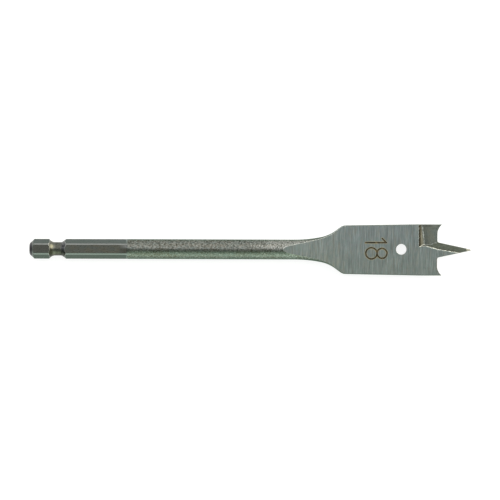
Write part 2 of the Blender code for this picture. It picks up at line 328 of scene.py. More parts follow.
def bridge_rings(bm, rings, kind):
    """Skins one ring of points to the next and closes both ends, all with one kind of surface."""
    loops = [[bm.verts.new(point) for point in ring] for ring in rings]
    faces = []
    for lower, upper in zip(loops, loops[1:]):
        faces += skin(bm, lower, upper)
    faces.append(bm.faces.new(list(reversed(loops[0]))))
    faces.append(bm.faces.new(loops[-1]))
    for face in faces:
        face.material_index = kind
    bmesh.ops.recalc_face_normals(bm, faces=bm.faces[:])


def cut_by_plane(bm, point, outward, kind):
    """Removes what lies on the outward side of a plane and closes the cut with a flat face."""
    geometry = bm.verts[:] + bm.edges[:] + bm.faces[:]
    cut = bmesh.ops.bisect_plane(
        bm, geom=geometry, plane_co=point, plane_no=outward, clear_outer=True
    )
    rim = [item for item in cut["geom_cut"] if isinstance(item, bmesh.types.BMEdge)]
    for face in bmesh.ops.edgeloop_fill(bm, edges=rim)["faces"]:
        face.material_index = kind
    bmesh.ops.recalc_face_normals(bm, faces=bm.faces[:])


def mesh_from(bm, name):
    """Turns the working mesh into a named mesh."""
    mesh = bpy.data.meshes.new(name)
    bm.to_mesh(mesh)
    bm.free()
    return mesh


def skinned(rings, kind):
    """A closed mesh through rings of points, with one kind of surface."""
    bm = bmesh.new()
    bridge_rings(bm, rings, kind)
    return mesh_from(bm, "cutter")


def add_object(name, data):
    """Puts a new object with this data in the scene."""
    made = bpy.data.objects.new(name, data)
    bpy.context.scene.collection.objects.link(made)
    return made


def shank_profile():
    """Corners of the shank's turned profile, as (x, radius, rounding)."""
    chamfer_foot = HEX_RADIUS - END_CHAMFER_LENGTH * math.tan(END_CHAMFER_ANGLE)
    depth = HEX_RADIUS - GROOVE_RADIUS
    return [
        (0, 0, 0),
        (0, chamfer_foot, END_ROUNDING),
        (END_CHAMFER_LENGTH, HEX_RADIUS, 0),
        (GROOVE_START, HEX_RADIUS, 0),
        (GROOVE_START + depth / math.tan(GROOVE_REAR_ANGLE), GROOVE_RADIUS, GROOVE_REAR_ROUNDING),
        (GROOVE_END - depth / math.tan(GROOVE_FRONT_ANGLE), GROOVE_RADIUS, GROOVE_FRONT_ROUNDING),
        (GROOVE_END, HEX_RADIUS, 0),
        (HEX_LENGTH, HEX_RADIUS, 0),
        (HEX_LENGTH + HEX_SHOULDER_LENGTH, BAR_RADIUS, 0),
    ]


def blade_outline():
    """Corners of the forged blade's edge, as (x, half width, rounding)."""
    return [
        (HEX_LENGTH + HEX_SHOULDER_LENGTH, BAR_RADIUS, 0),
        (NECK_X, BAR_RADIUS, NECK_ROUNDING),
        (KNEE_X, KNEE_HALF_WIDTH, KNEE_ROUNDING),
        (SHOULDER_X, SHOULDER_HALF_WIDTH, SHOULDER_ROUNDING),
        (LAND_X, HALF_WIDTH, 0),
        (BIT_LENGTH, HALF_WIDTH, 0),
    ]


def bar_ring(x, half_width, radius):
    """A round section whose two halves stand apart where the blade is wider than the bar."""
    ring = []
    for side in (1, -1):
        for index in range(SIDES_PER_HALF):
            angle = side * (math.pi / 2 - HALF_FACET * (2 * index + 1))
            across = side * (half_width - radius + radius * math.cos(angle))
            ring.append((x, across, radius * math.sin(angle)))
    return ring


def make_blank():
    """The turned shank, the bar and the forged blade before its faces are ground."""
    bm = bmesh.new()
    shank = rounded_path(shank_profile())[1:]
    blade = rounded_path(blade_outline())[1:]
    rings = [bar_ring(x, radius, radius) for x, radius in shank]
    rings += [bar_ring(x, half_width, BAR_RADIUS) for x, half_width in blade]
    bridge_rings(bm, rings, BAR)
    for face in bm.faces:
        middle = face.calc_center_median()
        if middle.x < HEX_LENGTH:
            face.material_index = TURNED
        if GROOVE_START < middle.x < GROOVE_END:
            face.material_index = GROOVE
    for side in (1, -1):
        slope = Vector((math.sin(TIP_BEVEL_ANGLE), 0, side * math.cos(TIP_BEVEL_ANGLE)))
        cut_by_plane(bm, Vector((TIP_X, 0, 0)), slope, RELIEF)
    return mesh_from(bm, "bit_look")


def side_cutter(profile, half_width, kind):
    """A cutter with this outline in X and Z, extruded sideways."""
    rings = [[(x, across, z) for x, z in profile] for across in (-half_width, half_width)]
    return skinned(rings, kind)


def make_flat_cutter():
    """Cuts one flat of the hexagon, with the ramp where it runs out into the bar."""
    top = BAR_RADIUS + REACH
    ramp_foot = HEX_LENGTH - (BAR_RADIUS - HEX_APOTHEM) / math.tan(HEX_RUNOUT_ANGLE)
    ramp_end = ramp_foot + (top - HEX_APOTHEM) / math.tan(HEX_RUNOUT_ANGLE)
    corners = [
        (-REACH, HEX_APOTHEM, 0),
        (ramp_foot, HEX_APOTHEM, HEX_RUNOUT_ROUNDING),
        (ramp_end, top, 0),
    ]
    path = rounded_path(corners)
    path.append(Vector((-REACH, top)))
    return side_cutter(path, 2 * BAR_RADIUS, FLAT)


def make_face_cutter():
    """Grinds one face of the blade, from its shallow start in the bar to past the point."""
    top = BAR_RADIUS + REACH
    start = FACE_RAMP_END - (top - FACE_HEIGHT) / math.tan(FACE_RAMP_ANGLE)
    front = BIT_LENGTH + REACH
    corners = [
        (start, top, 0),
        (FACE_RAMP_END, FACE_HEIGHT, FACE_RAMP_ROUNDING),
        (front, FACE_HEIGHT, 0),
    ]
    path = rounded_path(corners)
    path.append(Vector((front, top)))
    return side_cutter(path, 2 * HALF_WIDTH, GROUND)


def front_outline():
    """Corners of half of the front, as (x, y): spur, hollow, lip, root and side of the point."""
    spur_angle = math.acos(1 - SPUR_LENGTH / SPUR_HOLLOW_RADIUS)
    centre = Vector(
        (LIP_X + SPUR_HOLLOW_RADIUS, HALF_WIDTH - SPUR_HOLLOW_RADIUS * math.sin(spur_angle))
    )
    along_spur = Vector((math.sin(spur_angle), math.cos(spur_angle)))
    points = [Vector((LIP_X + SPUR_LENGTH, HALF_WIDTH)) + along_spur * REACH]
    count = math.ceil(spur_angle / ARC_STEP)
    for step in range(count + 1):
        angle = spur_angle * (1 - step / count)
        points.append(centre + Vector((-math.cos(angle), math.sin(angle))) * SPUR_HOLLOW_RADIUS)
    lip_end = points.pop()
    root = (LIP_X, (POINT_X - LIP_X) * POINT_SLOPE, POINT_ROOT_ROUNDING)
    past_point = (POINT_X + REACH, -REACH * POINT_SLOPE)
    points += rounded_path([lip_end, root, past_point])
    points.append(Vector((past_point[0], points[0].y)))
    return points


def make_front_cutter():
    """Cuts one half of the front, leaning back from its cutting edge by the relief angle."""
    rings = []
    for height in THROUGH:
        shift = (height - EDGE_HEIGHT) * math.tan(LIP_RELIEF_ANGLE)
        rings.append([(point.x + shift, point.y, height) for point in front_outline()])
    return skinned(rings, RELIEF)


def pocket_wall(across):
    """A pocket's depth and its wall's run, slant and radius, this far from the bit's axis."""
    share = across / HALF_WIDTH
    depth = POCKET_INNER_DEPTH + (POCKET_OUTER_DEPTH - POCKET_INNER_DEPTH) * share
    bow = min(share, 1) ** POCKET_BOW
    run = POCKET_INNER_RUN + (POCKET_OUTER_RUN - POCKET_INNER_RUN) * bow
    slant = 2 * math.atan2(depth, run)
    return depth, run, slant, depth / (1 - math.cos(slant))


def pocket_profile(across):
    """Corners of the rake pocket's section this far from the bit's axis, as (x, z)."""
    depth, run, slant, radius = pocket_wall(across)
    floor = FACE_HEIGHT - depth
    foot = LAND_X + run
    rise = (EDGE_HEIGHT - floor) / (LIP_X - foot)
    front = BIT_LENGTH + REACH
    top = FACE_HEIGHT + REACH
    points = [(LAND_X - REACH / math.tan(slant), top)]
    for step in range(POCKET_WALL_STEPS + 1):
        angle = slant * (1 - step / POCKET_WALL_STEPS)
        drop = radius * (math.cos(angle) - math.cos(slant))
        points.append((foot - radius * math.sin(angle), FACE_HEIGHT - drop))
    points.append((front, EDGE_HEIGHT + rise * (front - LIP_X)))
    points.append((front, top + rise * (front - LIP_X)))
    return points


def make_pocket_cutter():
    """Cuts a rake pocket: a hollow wall, a floor that rises to the lip and a slanted inner end."""
    bm = bmesh.new()
    outside = HALF_WIDTH + REACH
    rings = []
    for station in range(POCKET_STATIONS + 1):
        across = outside * station / POCKET_STATIONS
        rings.append([(x, across, z) for x, z in pocket_profile(across)])
    bridge_rings(bm, rings, POCKET)
    inward = Vector((0, -math.sin(POCKET_END_ANGLE), -math.cos(POCKET_END_ANGLE)))
    inward.rotate(Matrix.Rotation(POCKET_END_SKEW, 3, "Z"))
    cut_by_plane(bm, Vector((LAND_X, POCKET_END_FROM_AXIS, FACE_HEIGHT)), inward, POCKET)
    return mesh_from(bm, "pocket_cutter")


def make_point_cutter():
    """Cuts the rake groove along one side of the point: a bent wall and a floor rising outwards."""
    bm = bmesh.new()
    back = LIP_X - POINT_RAKE_OVERLAP
    front = BIT_LENGTH + REACH
    outside = HALF_WIDTH + REACH
    corners = [(back, -outside), (front, -outside), (front, outside), (back, outside)]
    bridge_rings(bm, [[(x, y, height) for x, y in corners] for height in THROUGH], POINT)
    for x, y, angle in POINT_RAKE_WALLS:
        wall_outward = Vector((math.sin(angle), math.cos(angle), 0))
        wall_normal = -wall_outward * math.sin(POINT_RAKE_WALL_ANGLE)
        wall_normal.z = -math.cos(POINT_RAKE_WALL_ANGLE)
        cut_by_plane(bm, Vector((x, y, FACE_HEIGHT)), wall_normal, POINT)
    edge_outward = Vector((math.sin(POINT_ANGLE / 2), math.cos(POINT_ANGLE / 2), 0))
    edge_end = Vector((POINT_X, 0, EDGE_HEIGHT))
    fall = math.atan2(POINT_RAKE_DEPTH - FACE_HEIGHT + EDGE_HEIGHT, POINT_RAKE_WIDTH)
    floor_normal = edge_outward * math.sin(fall)
    floor_normal.z = -math.cos(fall)
    cut_by_plane(bm, edge_end, floor_normal, POINT)
    return mesh_from(bm, "point_cutter")


def make_hole_cutter():
    """Drills the hole through the blade."""
    circle = []
    for index in range(HOLE_SIDES):
        angle = 2 * math.pi * index / HOLE_SIDES
        x = HOLE_X + HOLE_RADIUS * math.cos(angle)
        circle.append((x, HOLE_Y + HOLE_RADIUS * math.sin(angle)))
    return skinned([[(x, y, height) for x, y in circle] for height in THROUGH], HOLE)


def straight_stroke(start, end, depth):
    """Engraves a straight stroke with round ends and sloping sides."""
    start, end = Vector(start), Vector(end)
    along = math.atan2(end.y - start.y, end.x - start.x)
    rings = []
    for height, width in zip((depth, -depth), STROKE_SLOPE):
        ring = []
        for place, turn in ((end, -math.pi / 2), (start, math.pi / 2)):
            for step in range(STROKE_END_STEPS + 1):
                angle = along + turn + math.pi * step / STROKE_END_STEPS
                out = Vector((math.cos(angle), math.sin(angle))) * STROKE_HALF_WIDTH * width
                ring.append((*(place + out), FACE_HEIGHT + height))
        rings.append(ring)
    return skinned(rings, MARK)


def round_stroke(centre, radius, depth):
    """Engraves a round stroke with sloping sides."""
    bm = bmesh.new()
    wide, narrow = STROKE_SLOPE
    section = [(wide, 1), (narrow, -1), (-narrow, -1), (-wide, 1)]
    loops = []
    for step in range(STROKE_RING_STEPS):
        angle = 2 * math.pi * step / STROKE_RING_STEPS
        loop = []
        for width, height in section:
            reach = radius + width * STROKE_HALF_WIDTH
            x = centre[0] + reach * math.cos(angle)
            y = centre[1] + reach * math.sin(angle)
            loop.append(bm.verts.new((x, y, FACE_HEIGHT + height * depth)))
        loops.append(loop)
    for here, ahead in zip(loops, loops[1:] + loops[:1]):
        for face in skin(bm, here, ahead):
            face.material_index = MARK
    bmesh.ops.recalc_face_normals(bm, faces=bm.faces[:])
    return mesh_from(bm, "round_stroke")


def cut_with(bit, mesh, count=1):
    """Cuts the bit with copies of one cutter, evenly spaced round its axis. Returns the cutters."""
    cutters = []
    for material in bit.data.materials:
        mesh.materials.append(material)
    for index in range(count):
        cutter = add_object("cutter", mesh)
        cutter.rotation_euler.x = 2 * math.pi * index / count
        boolean = bit.modifiers.new("cut", "BOOLEAN")
        boolean.operation = "DIFFERENCE"
        boolean.solver = "EXACT"
        boolean.object = cutter
        cutters.append(cutter)
    return cutters


def join_patches(bm):
    """Welds what the cuts left apart and joins the facets that lie in one plane."""
    bmesh.ops.remove_doubles(bm, verts=bm.verts[:], dist=MERGE_DISTANCE)
    bmesh.ops.dissolve_degenerate(bm, dist=MERGE_DISTANCE, edges=bm.edges[:])
    parts = {"verts": bm.verts[:], "edges": bm.edges[:]}
    bmesh.ops.dissolve_limit(bm, **parts, angle_limit=FLAT_ANGLE, delimit={"MATERIAL"})


def break_edges(bm):
    """Rounds the sharp edges a little, so that they catch light as real ones do."""
    sharp = []
    for edge in bm.edges:
        if len(edge.link_faces) != 2:
            continue
        kinds = {face.material_index for face in edge.link_faces}
        if MARK in kinds or kinds in KEPT_SHARP or kinds in HOLLOW and not edge.is_convex:
            continue
        if edge.calc_face_angle() > EDGE_ANGLE:
            sharp.append(edge)
    shape = {"offset": EDGE_BREAK, "segments": EDGE_SEGMENTS, "profile": 0.5}
    bmesh.ops.bevel(bm, geom=sharp, affect="EDGES", material=EDGE, **shape)


def border_lines(bm, first_kind, second_kind):
    """The lines where two kinds of surface meet, as lists of points in their order."""
    ahead = {}
    for edge in bm.edges:
        if {face.material_index for face in edge.link_faces} == {first_kind, second_kind}:
            ahead.setdefault(edge.verts[0], []).append(edge.verts[1])
            ahead.setdefault(edge.verts[1], []).append(edge.verts[0])
    lines = []
    left = set(ahead)
    while left:
        start = min(left, key=lambda vert: (len(ahead[vert]), vert.index))
        line = [start]
        left.discard(start)
        while True:
            following = [vert for vert in ahead[line[-1]] if vert in left]
            if not following:
                break
            line.append(following[0])
            left.discard(following[0])
        lines.append([vert.co.copy() for vert in line])
    return lines


def walk(points, step):
    """Evenly spaced places along a line of points."""
    places = [points[0].copy()]
    left = step
    for before, after in zip(points, points[1:]):
        length = (after - before).length
        done = left
        while done <= length:
            places.append(before.lerp(after, done / length))
            done += step
        left = done - length
    return places


def add_burr(burrs, points, half_width, height, seed, kind=EDGE, low=1.0, least=LEAST_SWELL):
    """A thin broken ridge of metal along a line, closed at both ends."""
    places = walk(points, BURR_STEP) if points else []
    if len(places) < LEAST_BURR_PLACES:
        return
    loops = []
    for index, place in enumerate(places):
        before = places[max(index - 1, 0)]
        after = places[min(index + 1, len(places) - 1)]
        along = (after - before).normalized()
        up = Vector((0, 0, math.copysign(1, place.z)))
        across = along.cross(up)
        swell = noise.noise(Vector((place.x * BURR_RATE, place.y, seed)))
        swell = min(max(MEAN_SWELL + SWELL_RANGE * swell, least), 1.0)
        if place.y < 0:
            swell = max(swell * low, LEAST_SWELL)
        if index in (0, len(places) - 1):
            swell = LEAST_SWELL
        sway = noise.noise(Vector((place.x * BURR_RATE * SWAY_RATE, seed, place.y))) * half_width
        reach = half_width * (LEAST_WIDTH + (1 - LEAST_WIDTH) * swell)
        loop = []
        for corner in range(BURR_CORNERS):
            angle = 2 * math.pi * corner / BURR_CORNERS
            side = math.cos(angle) * reach + sway
            rise = math.sin(angle) * height * swell
            loop.append(burrs.verts.new(place + across * side + up * (rise - BURR_SINK)))
        loops.append(loop)
    faces = [burrs.faces.new(loops[0]), burrs.faces.new(loops[-1])]
    for here, ahead in zip(loops, loops[1:]):
        faces += skin(burrs, here, ahead)
    for face in faces:
        # Painted shade: on the -Y side a burr that is left smaller takes the bar's darker material
        on_shaded_side = low < 1 and face.calc_center_median().y < 0
        face.material_index = BAR if on_shaded_side else kind
    bmesh.ops.recalc_face_normals(burrs, faces=faces)


def crease_place(across):
    """Where a pocket's wall meets its floor, this far from the bit's axis."""
    depth, run, *_ = pocket_wall(across)
    return Vector((LAND_X + run, across, FACE_HEIGHT - depth))


def corner_place(share):
    """A place on a pocket's inner end, just above this share of the wall's run."""
    across = POCKET_END_FROM_AXIS
    for _ in range(CORNER_ROUNDS):
        _, run, slant, radius = pocket_wall(across)
        angle = math.asin(math.sin(slant) * (1 - share))
        drop = radius * (math.cos(angle) - math.cos(slant))
        along = run * share + CORNER_SHIFT
        across = POCKET_END_FROM_AXIS + along * math.tan(POCKET_END_SKEW)
        across += drop / math.tan(POCKET_END_ANGLE) / math.cos(POCKET_END_SKEW)
    return Vector((LAND_X + along, across, FACE_HEIGHT - drop))


def add_burrs(bm, burrs):
    """Burrs where the ground faces meet the bar, the pockets and the grooves, and a few nicks."""
    seed = 0.0
    for first_kind, second_kind, kind, half_width, height, low, limit in BURRS:
        for points in border_lines(bm, first_kind, second_kind):
            seed += BURR_SEED_STEP
            near = [point for point in points if point.x < limit]
            add_burr(burrs, near, half_width, height, seed, kind, low)
    for start, end, half_width, height in NICKS:
        ends = [Vector((*place, FACE_HEIGHT)) for place in (start, end)]
        add_burr(burrs, ends, half_width, height, seed)
    inner, outer = CREASE_ENDS
    stations = [inner + (outer - inner) * step / CREASE_STEPS for step in range(CREASE_STEPS + 1)]
    crease = [crease_place(across) for across in stations]
    corner = [corner_place(step / CORNER_STEPS) for step in range(CORNER_STEPS + 1)]
    for points, half_width, height, kind in (
        (crease, CREASE_HALF_WIDTH, CREASE_HEIGHT, EDGE),
        (corner, CORNER_HALF_WIDTH, CORNER_HEIGHT, EDGE),
    ):
        behind = [Vector((point.x, -point.y, -point.z)) for point in points]
        for line in (points, behind):
            add_burr(burrs, line, half_width, height, seed, kind, least=CREASE_LEAST_SWELL)


def make_bit(materials):
    """The whole bit in the row frame, with a material for each kind of surface."""
    blank = make_blank()
    for material in materials:
        blank.materials.append(material)
    bit = add_object("bit_look", blank)
    cutters = cut_with(bit, make_flat_cutter(), HEX_SIDES)
    for make_cutter in (make_face_cutter, make_pocket_cutter, make_point_cutter):
        cutters += cut_with(bit, make_cutter(), 2)
    cutters += cut_with(bit, make_hole_cutter())
    cutters += cut_with(bit, make_front_cutter(), 2)
    for (start, end), depth in zip(STRAIGHT_STROKES, STROKE_DEPTHS):
        cutters += cut_with(bit, straight_stroke(start, end, depth))
    for (centre, radius), depth in zip(ROUND_STROKES, STROKE_DEPTHS):
        cutters += cut_with(bit, round_stroke(centre, radius, depth))
    bpy.context.view_layer.update()
    graph = bpy.context.evaluated_depsgraph_get()
    result = bpy.data.meshes.new_from_object(bit.evaluated_get(graph))
    bit.modifiers.clear()
    bit.data = result
    for cutter in cutters:
        bpy.data.objects.remove(cutter)
    bm = bmesh.new()
    bm.from_mesh(result)
    join_patches(bm)
    burrs = bmesh.new()
    add_burrs(bm, burrs)
    break_edges(bm)
    extra = bpy.data.meshes.new("burrs")
    burrs.to_mesh(extra)
    burrs.free()
    bm.from_mesh(extra)
    bm.to_mesh(result)
    bm.free()
    result.transform(Matrix.Translation((-BIT_LENGTH / 2, 0, BAR_RADIUS)))
    result.transform(Matrix.Scale(MM, 4))
    result.shade_smooth()
    result.set_sharp_from_angle(angle=SHARP_ANGLE)
    for face in result.polygons:
        face.use_smooth = face.material_index not in FLAT_SHADED
    weighted = bit.modifiers.new("even_normals", "WEIGHTED_NORMAL")
    weighted.keep_sharp = True
    weighted.weight = NORMAL_WEIGHT
    return bit


class Graph:
    """Short calls that add nodes to one node tree. Plain colours are given as three numbers."""

    def __init__(self, tree):
        self.tree = tree

    def node(self, kind, **settings):
        made = self.tree.nodes.new(kind)
        for name, value in settings.items():
            setattr(made, name, value)
        return made

    def feed(self, socket, value):
        """Links an output to the socket, or sets the socket to a plain value."""
        if isinstance(value, bpy.types.NodeSocket):
            self.tree.links.new(value, socket)
        else:
            socket.default_value = value

    def math(self, operation, *values):
        made = self.node("ShaderNodeMath", operation=operation)
        for socket, value in zip(made.inputs, values):
            self.feed(socket, value)
        return made.outputs[0]

    def vector(self, operation, *values):
        made = self.node("ShaderNodeVectorMath", operation=operation)
        sockets = [socket for socket in made.inputs if socket.enabled]
        for socket, value in zip(sockets, values):
            self.feed(socket, value)
        return made.outputs["Value" if operation in ("LENGTH", "DOT_PRODUCT") else "Vector"]

    def parts(self, place):
        """The three coordinates of a place."""
        made = self.node("ShaderNodeSeparateXYZ")
        self.feed(made.inputs[0], place)
        return tuple(made.outputs)

    def mix(self, factor, first, second, blend="MIX"):
        made = self.node("ShaderNodeMix", data_type="RGBA", blend_type=blend)
        self.feed(made.inputs[0], factor)
        for socket, colour in ((made.inputs[6], first), (made.inputs[7], second)):
            plain = not isinstance(colour, bpy.types.NodeSocket)
            self.feed(socket, (*colour, 1.0) if plain else colour)
        return made.outputs[2]

    def times(self, colour, factor):
        """A colour times a colour or a plain number."""
        factor = (factor,) * 3 if isinstance(factor, float) else factor
        return self.mix(1.0, colour, factor, "MULTIPLY")

    def both(self, first, second):
        """The product of two numbers."""
        return self.math("MULTIPLY", first, second)

    def span(self, value, low, high, to_low=0.0, to_high=1.0):
        """Maps low..high smoothly to another range and holds it beyond."""
        made = self.node("ShaderNodeMapRange", interpolation_type="SMOOTHSTEP")
        for socket, number in zip(made.inputs, (value, low, high, to_low, to_high)):
            self.feed(socket, number)
        return made.outputs[0]

    def fall(self, value, low, high):
        """One below low, falling smoothly to zero at high."""
        return self.span(value, low, high, 1.0, 0.0)

    def varied(self, value, colours, between=MIDDLE):
        """The first of two colours where the value is low, the second where it is high."""
        return self.mix(self.span(value, *between), *colours)

    def ramp(self, value, stops):
        made = self.node("ShaderNodeValToRGB")
        elements = made.color_ramp.elements
        while len(elements) < len(stops):
            elements.new(1.0)
        for element, (position, colour) in zip(elements, stops):
            element.position = position
            element.color = (*colour, 1.0)
        self.feed(made.inputs[0], value)
        return made.outputs[0]


class Surface(Graph):
    """A material and its shader's inputs."""

    def __init__(self, name):
        self.material = bpy.data.materials.new(name)
        self.material.use_nodes = True
        super().__init__(self.material.node_tree)
        self.inputs = self.tree.nodes["Principled BSDF"].inputs


class Steel(Surface):
    """A steel, its grain and the coordinates of a place on the bit in millimetres."""

    def __init__(self, name):
        super().__init__(name)
        self.inputs["Metallic"].default_value = 1.0
        corner = self.node("ShaderNodeTexCoord").outputs["Object"]
        scale = (1 / MM, 1 / MM, 1 / MM)
        self.place = self.vector("MULTIPLY_ADD", corner, scale, (BIT_LENGTH / 2, 0.0, -BAR_RADIUS))
        self.x, self.y, self.z = self.parts(self.place)
        stretch, layers, self.roughness, self.depth = STEELS[name]
        self.grain = self.noise(stretch, layers)

    @property
    def aside(self):
        """How far a place is from the bit's axis, to either side."""
        return self.math("ABSOLUTE", self.y)

    def noise(self, stretch, layers=SOFT, degrees=0):
        """Noise in 0..1, with so many features per millimetre along each axis, turned round +Z."""
        place = self.place
        if degrees:
            turned = self.node("ShaderNodeVectorRotate", rotation_type="Z_AXIS")
            self.feed(turned.inputs["Vector"], place)
            turned.inputs["Angle"].default_value = math.radians(degrees)
            place = turned.outputs[0]
        made = self.node("ShaderNodeTexNoise")
        self.feed(made.inputs["Vector"], self.vector("MULTIPLY", place, stretch))
        for name, number in zip(("Scale", "Detail", "Roughness"), (1.0, *layers)):
            made.inputs[name].default_value = number
        return made.outputs["Fac"]

    def grained(self, *colours):
        """Two colours that vary with the grain."""
        return self.varied(self.grain, colours, MOST)

    def painted_green_side(self, colour, tint, start=GREEN_SIDE_START, y=None):
        """The colour with painted greener light on the -Y side of the bar and shank."""
        y = self.y if y is None else y
        return self.times(colour, self.varied(y, (tint, WHITE), (start - GREEN_SIDE_FADE, start)))

    def finished(self, colour, rim_tint=WHITE, relief=None):
        """The material in this colour, with its roughness and relief following the grain."""
        self.feed(self.inputs["Base Color"], colour)
        self.feed(self.inputs["Roughness"], self.span(self.grain, *MOST, *self.roughness))
        self.inputs["Specular Tint"].default_value = (*rim_tint, 1.0)
        bump = self.node("ShaderNodeBump")
        bump.inputs["Strength"].default_value = 1.0
        bump.inputs["Distance"].default_value = self.depth * MM
        self.feed(bump.inputs["Height"], self.grain if relief is None else relief)
        self.feed(self.inputs["Normal"], bump.outputs[0])
        return self.material


def plain_steel(name, *colours):
    """Steel whose colour and gloss vary with one fine grain."""
    steel = Steel(name)
    return steel.finished(steel.grained(*colours))


def make_bar_steel():
    """The bar's forged skin: brown and grey speckle, drawn out a little along the bar, with painted
    glints, light and shade.
    """
    films = ((0.08, 0.077, 0.056), (0.095, 0.105, 0.091))
    bares = ((0.183, 0.181, 0.16), (0.168, 0.185, 0.17))
    glint = (0.33, 0.33, 0.305)
    scale = (0.04, 0.043, 0.032)
    tint = (0.98, 1.115, 1.04)
    rim_tint = (0.53, 0.66, 0.59)
    film_gain, bare_gain = 0.62, 1.21
    lit_y, steep_z, ending_x = (-0.2, 0.9), (1.3, 2.3), (107.0, 114.0)
    denser_glints_x, denser_glints_y = (72.0, 90.0, 0.0, 0.15), (-1.0, 1.0, 0.35, 1.0)
    steep_shade_x = (94.0, 99.0, 0.25, 0.62)
    steel = Steel("bar_steel")
    # Painted light: on the +Y side the film is darker and the bare steel lighter
    lit = steel.span(steel.y, *lit_y)
    film = steel.varied(steel.noise((0.12, 0.3, 0.3), STREAKY), films, (0.38, 0.62))
    film = steel.mix(lit, film, steel.times(film, film_gain))
    bare = steel.varied(steel.noise((0.9, 1.2, 1.2)), bares)
    bare = steel.mix(lit, bare, steel.times(bare, bare_gain))
    colour = steel.varied(steel.grain, (film, bare), (0.36, 0.64))
    # Painted glints: bright specks, denser towards the blade and on the +Y side
    denser_glints = steel.both(steel.span(steel.x, *denser_glints_x), steel.span(steel.y, *denser_glints_y))
    glinting = steel.math("ADD", steel.noise((2.1, 2.9, 2.9)), denser_glints)
    colour = steel.varied(glinting, (colour, glint), (0.6, 0.72))
    # Painted shade on the steep sides, growing towards the blade
    steep = steel.fall(steel.math("ABSOLUTE", steel.z), *steep_z)
    colour = steel.mix(steel.both(steep, steel.span(steel.x, *steep_shade_x)), colour, scale)
    ending = steel.span(steel.x, *ending_x)
    y = steel.math("MULTIPLY_ADD", ending, 0.9 * HALF_WIDTH, steel.y)
    return steel.finished(steel.painted_green_side(colour, tint, y=y), rim_tint)


def stroke_distance(graph):
    """How far a place lies from the middle of the number's nearest stroke, in millimetres."""
    flat = graph.vector("MULTIPLY", graph.place, (1.0, 1.0, 0.0))
    nearest = None
    for (x, y), radius in ROUND_STROKES:
        out = graph.vector("LENGTH", graph.vector("SUBTRACT", flat, (x, y, 0.0)))
        distance = graph.math("ABSOLUTE", graph.math("SUBTRACT", out, radius))
        nearest = distance if nearest is None else graph.math("MINIMUM", nearest, distance)
    for start, end in STRAIGHT_STROKES:
        along = Vector((*end, 0)) - Vector((*start, 0))
        away = graph.vector("SUBTRACT", flat, (*start, 0.0))
        share = graph.vector("DOT_PRODUCT", away, tuple(along / along.length_squared))
        share = graph.math("MINIMUM", graph.math("MAXIMUM", share, 0.0), 1.0)
        foot = graph.vector("SCALE", tuple(along), share)
        distance = graph.vector("LENGTH", graph.vector("SUBTRACT", away, foot))
        nearest = graph.math("MINIMUM", nearest, distance)
    return nearest


def make_ground_steel():
    """The blade's ground faces: short grinding lines across the blade and a faint play of tints."""
    cool = ((0.195, 0.234, 0.222), (0.213, 0.234, 0.233))
    warm = (0.222, 0.234, 0.212)
    sides = ((1.0, 1.0, 0.965), (1.0, 1.0, 1.03))
    heat_tint, heated = (0.36, 0.32, 0.21), (0.34, 0.62, 0.8, 0.0)
    broad_level, heat_level = (0.96, 1.04), (0.3, 1.0)
    steel = Steel("ground_steel")
    level = steel.span(steel.noise((0.5, 0.05, 0.05)), *MOST, *broad_level)
    heights = None
    for degrees, stretch, spread in GRINDING:
        lines = steel.noise(stretch, STREAKY, degrees)
        level = steel.both(level, steel.span(lines, *MOST, 1 - spread, 1 + spread))
        heights = lines if heights is None else steel.math("ADD", heights, lines)
    colour = steel.varied(steel.grain, cool)
    colour = steel.varied(steel.noise((1.7, 0.25, 0.25)), (colour, warm), (0.45, 0.75))
    colour = steel.times(colour, steel.varied(steel.y, sides, (-HALF_WIDTH, HALF_WIDTH)))
    shade = steel.node("ShaderNodeCombineColor")
    for socket in shade.inputs:
        steel.feed(socket, level)
    colour = steel.times(colour, shade.outputs[0])
    heat = steel.span(stroke_distance(steel), *heated)
    heat = steel.both(heat, steel.math("GREATER_THAN", steel.z, 0.0))
    heat = steel.both(heat, steel.span(steel.noise((1.6, 1.6, 1.6)), *MIDDLE, *heat_level))
    return steel.finished(steel.mix(heat, colour, heat_tint), relief=heights)


def make_mark_steel():
    """The floor of the number's strokes: burnt dark, with brown patches."""
    burnt = ((0.044, 0.038, 0.025), (0.15, 0.115, 0.06))
    steel = Steel("mark_steel")
    steel.feed(steel.inputs["Base Color"], steel.varied(steel.grain, burnt, (0.45, 0.7)))
    steel.inputs["Roughness"].default_value = steel.roughness
    return steel.material


def make_turned_steel():
    """The turned parts of the shank, worn at the corners, with painted shade at the very end and a
    painted light line just behind it.
    """
    beside_corner, end_shade = (0.09, 0.102, 0.094), (0.066, 0.064, 0.068)
    edge_light_colour, tint = (0.175, 0.188, 0.175), (0.96, 1.05, 1.0)
    corner_turn, corner_span = 0.14, (-0.97, -0.84)
    end_x, edge_light_from_x, edge_light_to_x = (0.92, 1.12), (0.95, 1.1), (1.35, 1.5)
    steel = Steel("turned_steel")
    worn = steel.grained((0.18, 0.187, 0.18), (0.225, 0.235, 0.23))
    angle = steel.math("ARCTAN2", steel.y, steel.z)
    corners = steel.math("COSINE", steel.math("MULTIPLY_ADD", angle, HEX_SIDES, corner_turn))
    colour = steel.varied(corners, (worn, beside_corner), corner_span)
    # Painted shade on the end of the chamfer
    colour = steel.mix(steel.fall(steel.x, *end_x), colour, end_shade)
    # Painted light: a bright line where the chamfer ends, standing for light on a rounded edge
    edge_light = steel.span(steel.x, *edge_light_from_x)
    edge_light = steel.both(edge_light, steel.fall(steel.x, *edge_light_to_x))
    return steel.finished(steel.painted_green_side(steel.mix(edge_light, colour, edge_light_colour), tint))


